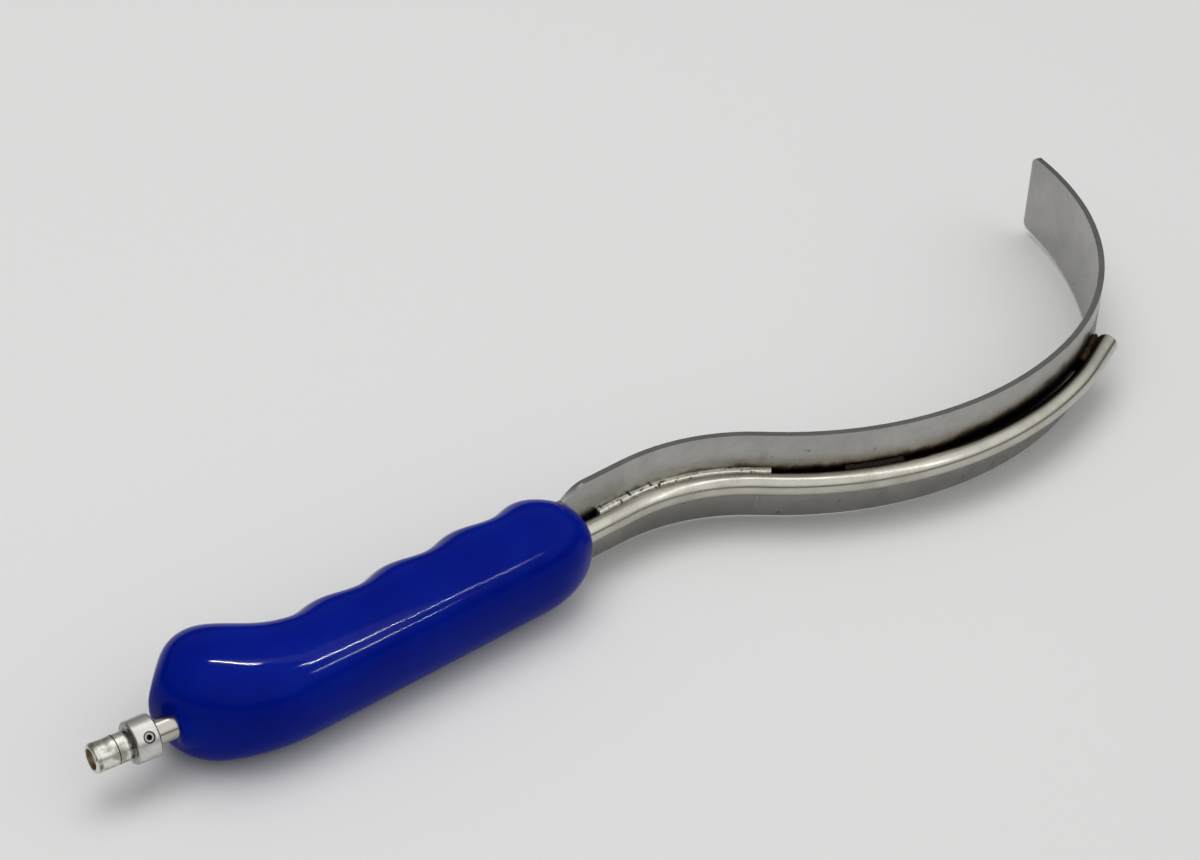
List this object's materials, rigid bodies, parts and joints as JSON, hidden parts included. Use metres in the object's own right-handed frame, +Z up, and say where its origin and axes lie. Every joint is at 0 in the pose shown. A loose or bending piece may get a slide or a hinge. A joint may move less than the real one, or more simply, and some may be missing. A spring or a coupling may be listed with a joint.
{
  "type": "lighted hand-held retractor",
  "caption": "Hand-held tissue retractor: a flat steel strip with a long curved hook, a light tube along its back, a dipped vinyl grip and a swivelling light post.",
  "frame": {"origin": "centre of the footprint, on the surface the tool lies on", "axes": "+X along the light post from its mouth towards the hook, +Y towards the side the hook opens to, +Z up, along the width of the strip"},
  "size_m": [0.3254, 0.0848, 0.0281],
  "materials": {
    "strip_steel": "satin",
    "tube_steel": "polished",
    "braze": "rough",
    "vinyl": "gloss",
    "core": "matte",
    "pins": "satin",
    "fittings": "satin",
    "screw_steel": "satin",
    "spring_steel": "satin",
    "fibre": "matte",
    "potting": "polished"
  },
  "bodies": {
    "retractor": {"strip": "strip_steel", "light_tube": "tube_steel", "input_tube": "tube_steel", "fibre_bundle": "fibre", "input_face": "potting", "distal_window": "potting", "tube_coupling": "fittings", "braze_bead": "braze", "braze_tacks": "braze", "core_near": "core", "core_far": "core", "core_pins": "pins", "grip_coat": "vinyl"},
    "collar": {"collar": "fittings", "retaining_ring": "spring_steel"},
    "light_post": {"post_nose": "fittings", "post_base": "fittings"},
    "set_screw": {"set_screw": "screw_steel"}
  },
  "joints": [
    {"name": "collar_pull", "type": "slide", "parent": "retractor", "child": "collar", "axis": [-1, 0, 0], "range_m": [0, 0.016]},
    {"name": "post_swivel", "type": "hinge", "parent": "collar", "child": "light_post", "pos_m": [-0.16268, -0.02112, 0.01406], "axis": [1, 0, 0], "continuous": true},
    {"name": "screw_turn", "type": "hinge", "parent": "collar", "child": "set_screw", "pos_m": [-0.15003, -0.02387, 0.01653], "axis": [0, -0.7431, 0.6691], "range_deg": [0, 720]}
  ]
}
